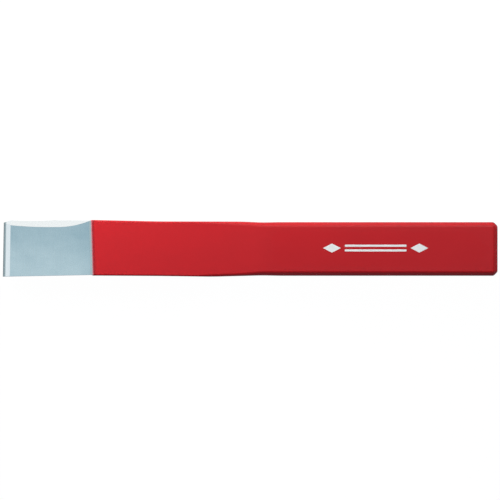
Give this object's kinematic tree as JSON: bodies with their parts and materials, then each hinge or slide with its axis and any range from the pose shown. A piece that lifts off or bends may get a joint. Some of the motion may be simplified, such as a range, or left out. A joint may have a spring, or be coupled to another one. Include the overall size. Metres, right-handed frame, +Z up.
{
  "type": "cold chisel",
  "caption": "Flat cold chisel with a chamfered red-coated shank, forged taper and bright ground blade, struck with a hammer to cut metal.",
  "frame": {"origin": "under the middle of the overall length, on the shank's centreline, at the underside of the coated shank that the chisel rests on", "axes": "+X runs along the tool from the cutting edge to the struck head, +Y across the shank, +Z up out of the broad face that carries the ornament"},
  "size_m": [0.2, 0.0229, 0.012],
  "materials": {
    "tool_steel": "satin, ground across the blade",
    "red_coat": "semi-gloss powder coat",
    "white_ink": "satin printed film"
  },
  "bodies": {
    "root": {"chisel_forging": "tool_steel", "red_coating": "red_coat", "mark_lozenge_front": "white_ink", "mark_lozenge_rear": "white_ink", "mark_bar_upper": "white_ink", "mark_bar_lower": "white_ink"}
  },
  "joints": []
}
